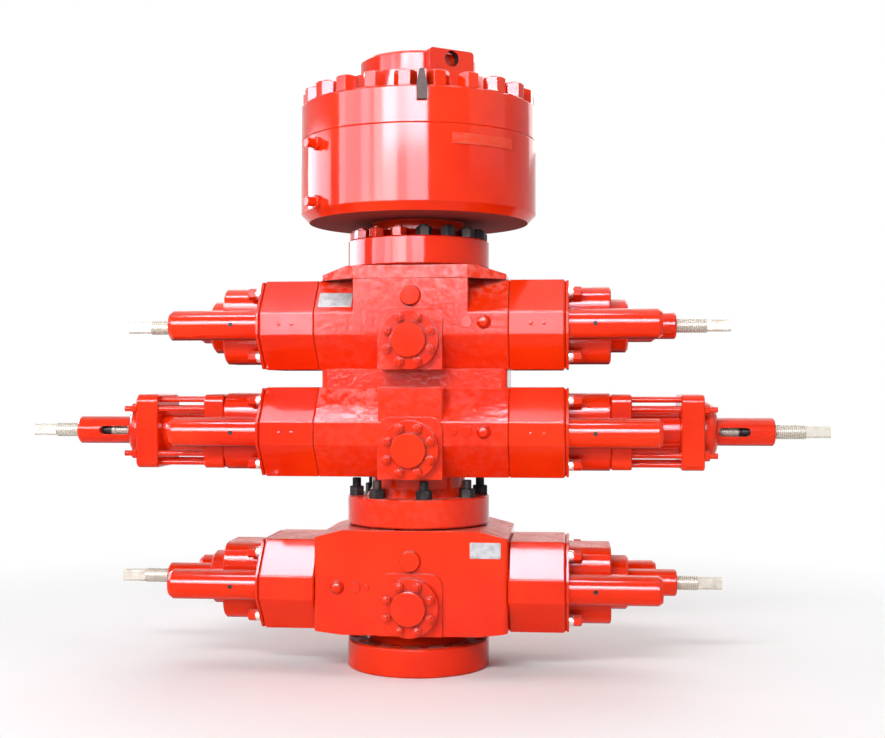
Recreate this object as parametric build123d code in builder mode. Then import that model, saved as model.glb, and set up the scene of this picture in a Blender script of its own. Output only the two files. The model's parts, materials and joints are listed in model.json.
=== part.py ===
"""Blowout preventer stack: an annular preventer on a double ram preventer on a single ram preventer.

Millimetres, +Z up along the wellbore, +X along the rams. Origin: centre of the bottom flange's face.
"""

import os

from build123d import *

# Wellbore and flanges
bore_radius = 173.05
flange_radius = 336.5
flange_thickness = 132.0
flange_bolt_count = 16
flange_bolt_circle_radius = 295.3
flange_bolt_hole_radius = 22.25
flange_bolt_start_angle = 180 / flange_bolt_count
flange_edge_chamfer = 6.0
hub_radius = 246.0
neck_radius = 222.0
hub_height = 40.0
ring_groove_inner_radius = 186.0
ring_groove_outer_radius = 204.0
ring_groove_depth = 14.0
gasket_inner_radius = 188.0
gasket_outer_radius = 214.0
gasket_thickness = 6.0

# Heights up the stack
single_neck_height = 61.0
double_neck_height = 95.0
annular_neck_height = 87.0
ram_spacing = 497.0
top_pad_height = 59.0

# Section across a ram: eight sided, the same for the bodies' barrels and the bolted flanges
ram_half_height = 208.0
ram_half_depth = 340.0
ram_corner_cut_height = 155.0
ram_corner_cut_depth = 140.0
ram_edge_radius = 14.0

# Bodies
body_half_width = 442.0
single_edge_radius = 24.0
shoulder_width = 130.0
shoulder_drop = 34.0
single_foot_rise = 16.0
top_pad_setback = 12.0
top_pad_overhang = 6.0
top_pad_corner_cut_width = 168.0
top_pad_corner_cut_depth = 140.0
top_pad_edge_radius = 12.0
middle_column_setback = 8.0
middle_column_half_depth = 206.0
middle_column_edge_radius = 30.0

# Side outlets and their blind flanges
outlet_drop = 74.0
outlet_pad_half_width = 148.0
outlet_pad_corner_radius = 60.0
outlet_pad_edge_radius = 12.0
outlet_pad_rise = 14.0
blind_flange_radius = 133.5
blind_flange_thickness = 48.0
blind_boss_radius = 80.0
blind_boss_height = 24.0
blind_boss_chamfer = 5.0

# Round caps and port plugs on the front and back faces
cap_rise = 130.0
cap_radius = 50.0
cap_height = 26.0
cap_taper_angle = 14
plug_distance = 334.0
plug_rise = 8.0
plug_radius = 33.0
plug_height = 26.0
plug_taper_angle = 20
seal_plug_distance = 255.0
seal_plug_radius = 27.0
seal_plug_height = 6.0
bleed_plug_distance = 200.0
bleed_plug_radius = 14.0
bleed_plug_height = 10.0

# Intermediate flanges and bonnets
intermediate_flange_thickness = 262.0
intermediate_flange_inner_chamfer = 7.0
intermediate_flange_outer_chamfer = 12.0
bonnet_plate_inset = 4.0
bonnet_plate_thickness = 12.0
bonnet_half_size = 180.0
bonnet_corner_radius = 95.0
bonnet_length = 205.0
bonnet_end_chamfer = 6.0

# Operating cylinder heads with the lock screw housings of the plain rams
head_radius = 125.0
head_length = 81.0
head_edge_chamfer = 10.0
housing_radius = 62.0
housing_length = 226.0
housing_edge_chamfer = 7.0

# Ram change cylinders, one in front of each bonnet and one behind it
ram_change_offset = 258.0
ram_change_radius = 68.0
ram_change_length = 420.0
ram_change_taper_length = 18.0
ram_change_end_radius = 56.0

# Boosters on the lower rams of the double preventer
booster_plate_half_size = 174.0
booster_plate_corner_radius = 36.0
booster_inner_plate_thickness = 95.0
booster_barrel_radius = 110.0
booster_barrel_length = 224.0
booster_end_plate_thickness = 105.0
booster_plate_edge_chamfer = 5.0
booster_cap_radius = 139.0
booster_cap_length = 71.0
booster_cap_lip_length = 14.0
booster_housing_radius = 65.0
booster_housing_length = 263.0
booster_slot_setback = 4.0
booster_slot_length = 145.0
booster_slot_width = 40.0
tie_rod_radius = 13.0
tie_rod_far_offset = 150.0
tie_rod_near_offset = 106.0
tie_rod_overhang = 60.0
tie_rod_clearance = 0.3

# Lock screws, at rest backed out, each as far as in the photograph
screw_radius = 33.0
screw_tip_radius = 26.0
screw_tip_length = 110.0
screw_length = 455.0
booster_screw_length = 520.0
screw_exposed_lengths = {
    "single_left": 230.0,
    "single_right": 210.0,
    "lower_left": 230.0,
    "lower_right": 254.0,
    "upper_left": 205.0,
    "upper_right": 254.0,
}
screw_drive_length = 112.0
screw_drive_across_flats = 54.0
screw_end_chamfer = 4.0
screw_travel = 190.0
screw_running_clearance = 0.3
screw_end_room = 12.0

# Annular preventer
annular_radius = 560.0
annular_foot_chamfer = 38.0
annular_lower_height = 381.0
annular_upper_height = 165.0
annular_seam_chamfer = 3.0
annular_rim_chamfer = 8.0
cover_ledge_share = 0.49
cover_shoulder_share = 0.27
cover_shoulder_rise = 118.0
cover_hub_radius = 280.0
cover_hub_rise = 223.0
cover_hub_chamfer = 12.0
cover_bore_radius = 203.0
cover_bore_chamfer = 10.0
cover_stud_hole_count = 12
cover_stud_hole_circle_radius = 240.0
cover_stud_hole_radius = 16.0
cover_stud_hole_depth = 70.0
cover_stud_start_angle = 180 / cover_stud_hole_count
packer_share = 0.33
packer_height = 205.0
packer_lip_height = 26.0
packer_clearance = 0.3

# Fittings on the annular preventer
lug_angle = -55
lug_half_width = 116.0
lug_height = 105.0
lug_corner_radius = 18.0
lug_thickness = 36.0
lug_hole_radius = 36.0
lug_hole_rise = 63.0
lug_hub_gap = 4.0
keeper_angle = -82
keeper_half_width = 23.0
keeper_thickness = 22.0
keeper_drop = 68.0
keeper_rise = 66.0
keeper_top_half_width = 10.0
keeper_hook_length = 48.0
port_angle = -138
port_radius = 21.0
port_length = 64.0
port_seat_depth = 14.0
port_clearance = 0.3
upper_port_drop = 55.0
lower_port_rise = 22.0

# Places worked out from the sizes above
single_level = flange_thickness + single_neck_height + ram_half_height
single_top = single_level + ram_half_height + top_pad_height
double_bottom = single_top + gasket_thickness
lower_level = double_bottom + flange_thickness + double_neck_height + ram_half_height
upper_level = lower_level + ram_spacing
double_top = upper_level + ram_half_height + top_pad_height
annular_bottom = double_top + gasket_thickness
annular_underside = annular_bottom + flange_thickness + annular_neck_height
annular_seam = annular_underside + annular_lower_height
annular_rim = annular_seam + annular_upper_height
cover_top = annular_rim + cover_hub_rise

top_pad_half_width = body_half_width - top_pad_setback
top_pad_half_depth = ram_half_depth + top_pad_overhang
riser_half_width = top_pad_half_width - top_pad_corner_cut_width
outlet_seat = ram_half_depth + outlet_pad_rise
flange_end = body_half_width + intermediate_flange_thickness
bonnet_plate_end = flange_end + bonnet_plate_thickness
bonnet_end = flange_end + bonnet_length
head_end = bonnet_end + head_length
housing_end = head_end + housing_length
inner_plate_end = bonnet_end + booster_inner_plate_thickness
barrel_end = inner_plate_end + booster_barrel_length
end_plate_end = barrel_end + booster_end_plate_thickness
booster_cap_end = end_plate_end + booster_cap_length
booster_housing_end = booster_cap_end + booster_housing_length
screw_bore_radius = screw_radius + screw_running_clearance
screw_reach = screw_length - min(screw_exposed_lengths.values()) + screw_travel + screw_end_room
bonnet_screw_bore_depth = screw_reach - housing_length - head_length
ram_change_end = bonnet_plate_end + ram_change_length
cover_rim_width = annular_radius - cover_hub_radius
cover_ledge_radius = cover_hub_radius + cover_ledge_share * cover_rim_width
cover_shoulder_radius = cover_hub_radius + cover_shoulder_share * cover_rim_width
cover_shoulder_level = annular_rim + cover_shoulder_rise
packer_radius = cover_bore_radius + packer_share * (annular_radius - cover_bore_radius)

sides = {"left": -1, "right": 1}
front_and_back = (-1, 1)
quarters = ((-1, -1), (-1, 1), (1, -1), (1, 1))
long_rod_places = [(across * tie_rod_far_offset, up * tie_rod_near_offset) for across, up in quarters]
short_rod_places = [(across * tie_rod_near_offset, up * tie_rod_far_offset) for across, up in quarters]
plain_levels = {"single": single_level, "upper": upper_level}
ram_levels = {"single": single_level, "lower": lower_level, "upper": upper_level}

os.makedirs("parts", exist_ok=True)


def save(piece, label):
    """Names a finished piece and writes it."""
    piece.label = label
    export_step(piece, f"parts/{label}.step")


def across_ram(side, distance, level):
    """Plane across a ram's axis at a distance from the wellbore, facing out. Its x runs along +Y."""
    return Plane(origin=(side * distance, 0, level), x_dir=(0, 1, 0), z_dir=(side, 0, 0))


def along_ram(side, level, offset=0):
    """Plane through a ram's axis, or one beside it: x runs out along the ram and y runs up."""
    return Plane(origin=(0, offset, level), x_dir=(side, 0, 0), z_dir=(0, -side, 0))


def ram_axis(side, level, offset=0):
    """The axis that a ram's turned pieces are revolved about."""
    return Axis((0, offset, level), (side, 0, 0))


def on_face(face, across, level, distance=ram_half_depth):
    """Plane on the flat front or back of the stack, facing out. Its y runs up."""
    return Plane(origin=(across, face * distance, level), x_dir=(-face, 0, 0), z_dir=(0, face, 0))


def around_stack(angle, distance, level):
    """Plane that faces out from the wellbore's axis at an angle from +X. Its y runs up."""
    outward = Vector(1, 0, 0).rotate(Axis.Z, angle)
    sideways = Vector(0, 0, 1).cross(outward)
    return Plane(origin=outward * distance + Vector(0, 0, level), x_dir=sideways, z_dir=outward)


def cut_corner_points(half_x, half_y, cut_x, cut_y):
    """Corners of a rectangle with straight cut corners, from half its sizes and the sizes of the cuts."""
    return (
        (half_x - cut_x, -half_y),
        (half_x, cut_y - half_y),
        (half_x, half_y - cut_y),
        (half_x - cut_x, half_y),
        (cut_x - half_x, half_y),
        (-half_x, half_y - cut_y),
        (-half_x, cut_y - half_y),
        (cut_x - half_x, -half_y),
    )


def flange_and_neck_points(bottom, neck_top):
    """Half outline of a bolted flange with the neck above it, as radii and heights."""
    flange_top = bottom + flange_thickness
    return (
        (0, bottom),
        (flange_radius - flange_edge_chamfer, bottom),
        (flange_radius, bottom + flange_edge_chamfer),
        (flange_radius, flange_top - flange_edge_chamfer),
        (flange_radius - flange_edge_chamfer, flange_top),
        (hub_radius, flange_top),
        (neck_radius, flange_top + hub_height),
        (neck_radius, neck_top),
        (0, neck_top),
    )


# The section across a ram, the smaller one of the bonnet plates, and the double's top pad in plan
ram_section = cut_corner_points(ram_half_depth, ram_half_height, ram_corner_cut_depth, ram_corner_cut_height)
bonnet_plate_section = cut_corner_points(
    ram_half_depth - bonnet_plate_inset,
    ram_half_height - bonnet_plate_inset,
    ram_corner_cut_depth,
    ram_corner_cut_height,
)
top_pad_plan = cut_corner_points(
    top_pad_half_width, top_pad_half_depth, top_pad_corner_cut_width, top_pad_corner_cut_depth
)

# The raised pad that a side outlet's blind flange seats on, from the ram's level
outlet_pad_top = outlet_pad_half_width - outlet_drop
outlet_pad_corners = (
    (-outlet_pad_half_width, -ram_half_height),
    (outlet_pad_half_width, -ram_half_height),
    (outlet_pad_half_width, outlet_pad_top),
    (-outlet_pad_half_width, outlet_pad_top),
)

# Single ram preventer: one forged block with sloped shoulders, on its neck and bottom flange
single_block_bottom = single_level - ram_half_height
single_shoulder = single_top - shoulder_drop
with BuildPart() as single_ram_body:
    with BuildSketch(Plane.XZ):
        with BuildLine():
            Polyline(
                (shoulder_width - body_half_width, single_block_bottom),
                (body_half_width - shoulder_width, single_block_bottom),
                (body_half_width, single_block_bottom + single_foot_rise),
                (body_half_width, single_shoulder),
                (body_half_width - shoulder_width, single_top),
                (shoulder_width - body_half_width, single_top),
                (-body_half_width, single_shoulder),
                (-body_half_width, single_block_bottom + single_foot_rise),
                close=True,
            )
        make_face()
    extrude(amount=ram_half_depth, both=True)
    fillet(single_ram_body.edges().filter_by(Axis.Z), radius=single_edge_radius)
    for face in front_and_back:
        with BuildSketch(on_face(face, 0, single_level, outlet_seat)) as outlet_pad:
            with BuildLine():
                Polyline(*outlet_pad_corners, close=True)
            make_face()
            fillet(outlet_pad.vertices().group_by(Axis.Y)[-1], outlet_pad_corner_radius)
        extrude(amount=-outlet_seat)
    with BuildSketch(Plane.XZ):
        with BuildLine():
            Polyline(*flange_and_neck_points(0, single_block_bottom), close=True)
        make_face()
    revolve(axis=Axis.Z)
    with BuildSketch():
        with PolarLocations(flange_bolt_circle_radius, flange_bolt_count, flange_bolt_start_angle):
            Circle(flange_bolt_hole_radius)
    extrude(amount=flange_thickness, mode=Mode.SUBTRACT)
    with BuildSketch():
        Circle(ring_groove_outer_radius)
        Circle(ring_groove_inner_radius, mode=Mode.SUBTRACT)
    extrude(amount=ring_groove_depth, mode=Mode.SUBTRACT)
    with BuildSketch():
        Circle(bore_radius)
    extrude(amount=single_top, mode=Mode.SUBTRACT)
save(single_ram_body.part, "single_ram_body")

# Double ram preventer: two barrels crossed by a column, one forging with its bottom neck and flange
lower_block_bottom = lower_level - ram_half_height
upper_block_top = upper_level + ram_half_height
double_shoulder = double_top - shoulder_drop
with BuildPart() as double_ram_body:
    for level in (lower_level, upper_level):
        with BuildSketch(across_ram(1, -body_half_width, level)) as section:
            with BuildLine():
                Polyline(*ram_section, close=True)
            make_face()
            fillet(section.vertices(), ram_edge_radius)
        extrude(amount=2 * body_half_width)
    with BuildSketch(Plane.XY.offset(lower_level)):
        RectangleRounded(
            2 * (body_half_width - middle_column_setback),
            2 * middle_column_half_depth,
            middle_column_edge_radius,
        )
    extrude(amount=ram_spacing)
    with BuildSketch(Plane.XY.offset(upper_level)):
        Rectangle(2 * riser_half_width, 2 * ram_half_depth)
    extrude(amount=ram_half_height)
    with BuildSketch(Plane.XY.offset(upper_block_top)) as plan:
        with BuildLine():
            Polyline(*top_pad_plan, close=True)
        make_face()
        fillet(plan.vertices(), top_pad_edge_radius)
    extrude(amount=top_pad_height)
    for side in sides.values():
        with BuildSketch(along_ram(side, 0)):
            with BuildLine():
                Polyline(
                    (top_pad_half_width - shoulder_width, double_top),
                    (top_pad_half_width, double_top),
                    (top_pad_half_width, double_shoulder),
                    close=True,
                )
            make_face()
        extrude(amount=top_pad_half_depth, both=True, mode=Mode.SUBTRACT)
    with BuildSketch(Plane.XY.offset(lower_block_bottom)):
        RectangleRounded(2 * outlet_pad_half_width, 2 * ram_half_depth, outlet_pad_edge_radius)
    extrude(amount=2 * ram_half_height)
    for level in (lower_level, upper_level):
        for face in front_and_back:
            with BuildSketch(on_face(face, 0, level, outlet_seat)) as outlet_pad:
                with BuildLine():
                    Polyline(*outlet_pad_corners, close=True)
                make_face()
                fillet(outlet_pad.vertices().group_by(Axis.Y)[-1], outlet_pad_corner_radius)
            extrude(amount=-outlet_seat)
    with BuildSketch(Plane.XZ):
        with BuildLine():
            Polyline(*flange_and_neck_points(double_bottom, lower_block_bottom), close=True)
        make_face()
    revolve(axis=Axis.Z)
    with BuildSketch(Plane.XY.offset(double_bottom)):
        with PolarLocations(flange_bolt_circle_radius, flange_bolt_count, flange_bolt_start_angle):
            Circle(flange_bolt_hole_radius)
    extrude(amount=flange_thickness, mode=Mode.SUBTRACT)
    with BuildSketch(Plane.XY.offset(double_bottom)):
        Circle(bore_radius)
    extrude(amount=double_top - double_bottom, mode=Mode.SUBTRACT)
save(double_ram_body.part, "double_ram_body")

# Sealing rings that show in the narrow gaps between the preventers
with BuildPart() as ring_gaskets:
    for gap_bottom in (single_top, double_top):
        with BuildSketch(Plane.XY.offset(gap_bottom)):
            Circle(gasket_outer_radius)
            Circle(gasket_inner_radius, mode=Mode.SUBTRACT)
        extrude(amount=gasket_thickness)
save(ring_gaskets.part, "ring_gaskets")

# Side outlets, each closed by a blind flange with a raised boss, front and back
with BuildPart() as outlet_blind_flanges:
    for level in ram_levels.values():
        for face in front_and_back:
            outlet = on_face(face, 0, level - outlet_drop, outlet_seat)
            with BuildSketch(outlet):
                Circle(blind_flange_radius)
            extrude(amount=blind_flange_thickness)
            with BuildSketch(outlet.offset(blind_flange_thickness)):
                Circle(blind_boss_radius)
            extrude(amount=blind_boss_height)
    for boss_rims in (
        outlet_blind_flanges.edges().filter_by(GeomType.CIRCLE).group_by(Axis.Y)[0],
        outlet_blind_flanges.edges().filter_by(GeomType.CIRCLE).group_by(Axis.Y)[-1],
    ):
        chamfer(boss_rims, length=blind_boss_chamfer)
save(outlet_blind_flanges.part, "outlet_blind_flanges")

# Round caps above the outlets, and hydraulic port plugs beside them
with BuildPart() as port_plugs:
    for name, level in ram_levels.items():
        for face in front_and_back:
            turn = face if name == "single" else -face
            if name in plain_levels:
                with BuildSketch(on_face(face, 0, level + cap_rise)):
                    Circle(cap_radius)
                extrude(amount=cap_height, taper=cap_taper_angle)
            with BuildSketch(on_face(face, turn * plug_distance, level + plug_rise)):
                Circle(plug_radius)
            extrude(amount=plug_height, taper=plug_taper_angle)
            with BuildSketch(on_face(face, turn * seal_plug_distance, level + plug_rise)):
                Circle(seal_plug_radius)
            extrude(amount=seal_plug_height)
            with BuildSketch(on_face(face, turn * bleed_plug_distance, level + plug_rise)):
                Circle(bleed_plug_radius)
            extrude(amount=bleed_plug_height)
save(port_plugs.part, "port_plugs")

# Intermediate flanges: eight-sided blocks bolted between the bodies and the bonnets
for name, level in ram_levels.items():
    for side_name, side in sides.items():
        with BuildPart() as intermediate_flange:
            with BuildSketch(across_ram(side, body_half_width, level)) as section:
                with BuildLine():
                    Polyline(*ram_section, close=True)
                make_face()
                fillet(section.vertices(), ram_edge_radius)
            extrude(amount=intermediate_flange_thickness)
            inner_face = intermediate_flange.faces().sort_by(Axis.X, reverse=side < 0)[0]
            chamfer(inner_face.edges(), length=intermediate_flange_inner_chamfer)
            outer_face = intermediate_flange.faces().sort_by(Axis.X, reverse=side < 0)[-1]
            chamfer(outer_face.edges(), length=intermediate_flange_outer_chamfer)
        save(intermediate_flange.part, f"{name}_{side_name}_intermediate_flange")

# Bonnets: round-cornered blocks on eight-sided plates, that hold the ends of the operating cylinders
for name, level in ram_levels.items():
    for side_name, side in sides.items():
        with BuildPart() as bonnet:
            with BuildSketch(across_ram(side, flange_end, level)):
                RectangleRounded(2 * bonnet_half_size, 2 * bonnet_half_size, bonnet_corner_radius)
            extrude(amount=bonnet_length)
            outer_face = bonnet.faces().sort_by(Axis.X, reverse=side < 0)[-1]
            chamfer(outer_face.edges(), length=bonnet_end_chamfer)
            with BuildSketch(across_ram(side, flange_end, level)) as section:
                with BuildLine():
                    Polyline(*bonnet_plate_section, close=True)
                make_face()
                fillet(section.vertices(), ram_edge_radius)
            extrude(amount=bonnet_plate_thickness)
            if name in plain_levels:
                with BuildSketch(across_ram(side, bonnet_end - bonnet_screw_bore_depth, level)):
                    Circle(screw_bore_radius)
                extrude(amount=bonnet_screw_bore_depth, mode=Mode.SUBTRACT)
        save(bonnet.part, f"{name}_{side_name}_bonnet")

# Operating cylinder heads of the plain rams, turned in one with the lock screw housings
for name, level in plain_levels.items():
    for side_name, side in sides.items():
        with BuildPart() as cylinder_head:
            with BuildSketch(along_ram(side, level)):
                with BuildLine():
                    Polyline(
                        (bonnet_end, screw_bore_radius),
                        (bonnet_end, head_radius),
                        (head_end - head_edge_chamfer, head_radius),
                        (head_end, head_radius - head_edge_chamfer),
                        (head_end, housing_radius),
                        (housing_end - housing_edge_chamfer, housing_radius),
                        (housing_end, housing_radius - housing_edge_chamfer),
                        (housing_end, screw_bore_radius),
                        close=True,
                    )
                make_face()
            revolve(axis=ram_axis(side, level))
        save(cylinder_head.part, f"{name}_{side_name}_cylinder_head")

# Ram change cylinders, four to a ram level
for name, level in ram_levels.items():
    with BuildPart() as ram_change_cylinders:
        for side in sides.values():
            for face in front_and_back:
                with BuildSketch(along_ram(side, level, face * ram_change_offset)):
                    with BuildLine():
                        Polyline(
                            (bonnet_plate_end, 0),
                            (bonnet_plate_end, ram_change_radius),
                            (ram_change_end - ram_change_taper_length, ram_change_radius),
                            (ram_change_end, ram_change_end_radius),
                            (ram_change_end, 0),
                            close=True,
                        )
                    make_face()
                revolve(axis=ram_axis(side, level, face * ram_change_offset))
    save(ram_change_cylinders.part, f"{name}_ram_change_cylinders")

# Boosters: a barrel between two square plates held by tie rods, with a domed cap and a slotted housing
booster_plates = {"inner_plate": (bonnet_end, inner_plate_end), "end_plate": (barrel_end, end_plate_end)}
cap_lip_end = end_plate_end + booster_cap_lip_length
for side_name, side in sides.items():
    for plate_name, (plate_start, plate_stop) in booster_plates.items():
        with BuildPart() as booster_plate:
            with BuildSketch(across_ram(side, plate_start, lower_level)):
                RectangleRounded(
                    2 * booster_plate_half_size, 2 * booster_plate_half_size, booster_plate_corner_radius
                )
            extrude(amount=plate_stop - plate_start)
            chamfer(booster_plate.faces().filter_by(Axis.X).edges(), length=booster_plate_edge_chamfer)
            with BuildSketch(across_ram(side, plate_start, lower_level)):
                Circle(screw_bore_radius)
                with Locations(*long_rod_places, *short_rod_places):
                    Circle(tie_rod_radius + tie_rod_clearance)
            extrude(amount=plate_stop - plate_start, mode=Mode.SUBTRACT)
        save(booster_plate.part, f"{side_name}_booster_{plate_name}")

    with BuildPart() as booster_barrel:
        with BuildSketch(across_ram(side, inner_plate_end, lower_level)):
            Circle(booster_barrel_radius)
            Circle(screw_bore_radius, mode=Mode.SUBTRACT)
        extrude(amount=booster_barrel_length)
    save(booster_barrel.part, f"{side_name}_booster_barrel")

    with BuildPart() as booster_housing:
        with BuildSketch(along_ram(side, lower_level)):
            with BuildLine():
                Polyline(
                    (booster_cap_end, booster_housing_radius),
                    (booster_housing_end - housing_edge_chamfer, booster_housing_radius),
                    (booster_housing_end, booster_housing_radius - housing_edge_chamfer),
                    (booster_housing_end, screw_bore_radius),
                    (end_plate_end, screw_bore_radius),
                    (end_plate_end, booster_cap_radius),
                    (cap_lip_end, booster_cap_radius),
                )
                EllipticalCenterArc(
                    (cap_lip_end, booster_housing_radius),
                    booster_cap_end - cap_lip_end,
                    booster_cap_radius - booster_housing_radius,
                    start_angle=0,
                    arc_size=90,
                )
            make_face()
        revolve(axis=ram_axis(side, lower_level))
        slot_middle = side * (booster_cap_end + booster_slot_setback + booster_slot_length / 2)
        with BuildSketch(Plane(origin=(slot_middle, 0, lower_level), x_dir=(1, 0, 0), z_dir=(0, -1, 0))):
            SlotOverall(booster_slot_length, booster_slot_width)
        extrude(amount=booster_housing_radius, both=True, mode=Mode.SUBTRACT)
    save(booster_housing.part, f"{side_name}_booster_cap_and_housing")

# Tie rods of both boosters: four of each eight stand out past the end plate
with BuildPart() as booster_tie_rods:
    for side in sides.values():
        with BuildSketch(across_ram(side, bonnet_end, lower_level)):
            with Locations(*long_rod_places):
                Circle(tie_rod_radius)
        extrude(amount=end_plate_end - bonnet_end + tie_rod_overhang)
        with BuildSketch(across_ram(side, bonnet_end, lower_level)):
            with Locations(*short_rod_places):
                Circle(tie_rod_radius)
        extrude(amount=end_plate_end - bonnet_end)
save(booster_tie_rods.part, "booster_tie_rods")

# Lock screws: a plain tip, a threaded length and a square drive end
for name, level in ram_levels.items():
    screw_mouth = housing_end if name in plain_levels else booster_housing_end
    whole_length = screw_length if name in plain_levels else booster_screw_length
    for side_name, side in sides.items():
        screw_end = screw_mouth + screw_exposed_lengths[f"{name}_{side_name}"]
        tip_start = screw_end - whole_length
        thread_start = tip_start + screw_tip_length
        drive_start = screw_end - screw_drive_length
        with BuildPart() as lock_screw:
            with BuildSketch(along_ram(side, level)):
                with BuildLine():
                    Polyline(
                        (tip_start, 0),
                        (tip_start, screw_tip_radius - screw_end_chamfer),
                        (tip_start + screw_end_chamfer, screw_tip_radius),
                        (thread_start, screw_tip_radius),
                        (thread_start, screw_radius - screw_end_chamfer),
                        (thread_start + screw_end_chamfer, screw_radius),
                        (drive_start, screw_radius),
                        (drive_start, 0),
                        close=True,
                    )
                make_face()
            revolve(axis=ram_axis(side, level))
            with BuildSketch(across_ram(side, drive_start, level)):
                Circle(screw_radius)
                Rectangle(screw_drive_across_flats, screw_drive_across_flats, mode=Mode.INTERSECT)
            extrude(amount=screw_drive_length)
        save(lock_screw.part, f"{name}_{side_name}_lock_screw")

# Annular preventer: the lower housing with its neck, its flange and the seats of its two hydraulic ports
port_levels = (annular_seam - upper_port_drop, annular_underside + annular_foot_chamfer + lower_port_rise)
with BuildPart() as annular_lower_housing:
    with BuildSketch(Plane.XZ):
        with BuildLine():
            Polyline(*flange_and_neck_points(annular_bottom, annular_underside), close=True)
        make_face()
    revolve(axis=Axis.Z)
    with BuildSketch(Plane.XZ):
        with BuildLine():
            Polyline(
                (0, annular_underside),
                (annular_radius - annular_foot_chamfer, annular_underside),
                (annular_radius, annular_underside + annular_foot_chamfer),
                (annular_radius, annular_seam - annular_seam_chamfer),
                (annular_radius - annular_seam_chamfer, annular_seam),
                (0, annular_seam),
                close=True,
            )
        make_face()
    revolve(axis=Axis.Z)
    with BuildSketch(Plane.XY.offset(annular_bottom)):
        with PolarLocations(flange_bolt_circle_radius, flange_bolt_count, flange_bolt_start_angle):
            Circle(flange_bolt_hole_radius)
    extrude(amount=flange_thickness, mode=Mode.SUBTRACT)
    with BuildSketch(Plane.XY.offset(annular_bottom)):
        Circle(bore_radius)
    extrude(amount=annular_seam - annular_bottom, mode=Mode.SUBTRACT)
    for port_level in port_levels:
        with BuildSketch(around_stack(port_angle, annular_radius - port_seat_depth, port_level)):
            Circle(port_radius + port_clearance)
        extrude(amount=port_seat_depth, mode=Mode.SUBTRACT)
save(annular_lower_housing.part, "annular_lower_housing")

# The ports that stand in those seats
with BuildPart() as annular_ports:
    for port_level in port_levels:
        with BuildSketch(around_stack(port_angle, annular_radius - port_seat_depth, port_level)):
            Circle(port_radius)
        extrude(amount=port_seat_depth + port_length)
save(annular_ports.part, "annular_ports")

# The upper housing: a bolted ring with a raised hub, hollow for the packing element
packer_pocket_top = annular_seam + packer_height - packer_lip_height
with BuildPart() as annular_upper_housing:
    with BuildSketch(Plane.XZ):
        with BuildLine():
            Polyline(
                (packer_radius + packer_clearance, annular_seam),
                (annular_radius - annular_seam_chamfer, annular_seam),
                (annular_radius, annular_seam + annular_seam_chamfer),
                (annular_radius, annular_rim - annular_rim_chamfer),
                (annular_radius - annular_rim_chamfer, annular_rim),
                (cover_ledge_radius, annular_rim),
                (cover_shoulder_radius, cover_shoulder_level),
                (cover_hub_radius, cover_shoulder_level),
                (cover_hub_radius, cover_top - cover_hub_chamfer),
                (cover_hub_radius - cover_hub_chamfer, cover_top),
                (cover_bore_radius + cover_bore_chamfer, cover_top),
                (cover_bore_radius, cover_top - cover_bore_chamfer),
                (cover_bore_radius, packer_pocket_top),
                (packer_radius + packer_clearance, packer_pocket_top),
                close=True,
            )
        make_face()
    revolve(axis=Axis.Z)
    with BuildSketch(Plane.XY.offset(cover_top)):
        with PolarLocations(cover_stud_hole_circle_radius, cover_stud_hole_count, cover_stud_start_angle):
            Circle(cover_stud_hole_radius)
    extrude(amount=-cover_stud_hole_depth, mode=Mode.SUBTRACT)
save(annular_upper_housing.part, "annular_upper_housing")

# Packing element: the rubber ring that shows inside the upper housing's bore
with BuildPart() as packing_element:
    with BuildSketch(Plane.XZ):
        with BuildLine():
            Polyline(
                (bore_radius, annular_seam),
                (packer_radius, annular_seam),
                (packer_radius, packer_pocket_top - packer_clearance),
                (cover_bore_radius - packer_clearance, packer_pocket_top - packer_clearance),
                (bore_radius, annular_seam + packer_height),
                close=True,
            )
        make_face()
    revolve(axis=Axis.Z)
save(packing_element.part, "packing_element")

# Lifting lugs: two padeyes that stand on the upper housing's shoulder, on either side of the hub
with BuildPart() as lifting_lugs:
    for turn in (0, 180):
        lug_plane = around_stack(lug_angle + turn, cover_hub_radius + lug_hub_gap, cover_shoulder_level)
        with BuildSketch(lug_plane) as lug:
            with Locations((0, lug_height / 2)):
                Rectangle(2 * lug_half_width, lug_height)
            fillet(lug.vertices().group_by(Axis.Y)[-1], lug_corner_radius)
            with Locations((0, lug_hole_rise)):
                Circle(lug_hole_radius, mode=Mode.SUBTRACT)
        extrude(amount=lug_thickness)
save(lifting_lugs.part, "lifting_lugs")

# Keepers hooked over the rim of the upper housing, front and back
with BuildPart() as rim_keepers:
    for turn in (0, 180):
        rim_plane = around_stack(keeper_angle + turn, annular_radius, annular_rim)
        with BuildSketch(rim_plane):
            with BuildLine():
                Polyline(
                    (keeper_half_width, -keeper_drop),
                    (keeper_half_width, 0),
                    (keeper_top_half_width, keeper_rise),
                    (-keeper_top_half_width, keeper_rise),
                    (-keeper_half_width, 0),
                    (-keeper_half_width, -keeper_drop),
                    close=True,
                )
            make_face()
        extrude(amount=keeper_thickness)
        with BuildSketch(rim_plane):
            with Locations((0, keeper_rise / 2)):
                Rectangle(2 * keeper_top_half_width, keeper_rise)
        extrude(amount=-keeper_hook_length)
save(rim_keepers.part, "rim_keepers")
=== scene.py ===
import json
import math

import bmesh
import bpy
from mathutils import Euler, Matrix, Vector


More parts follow.
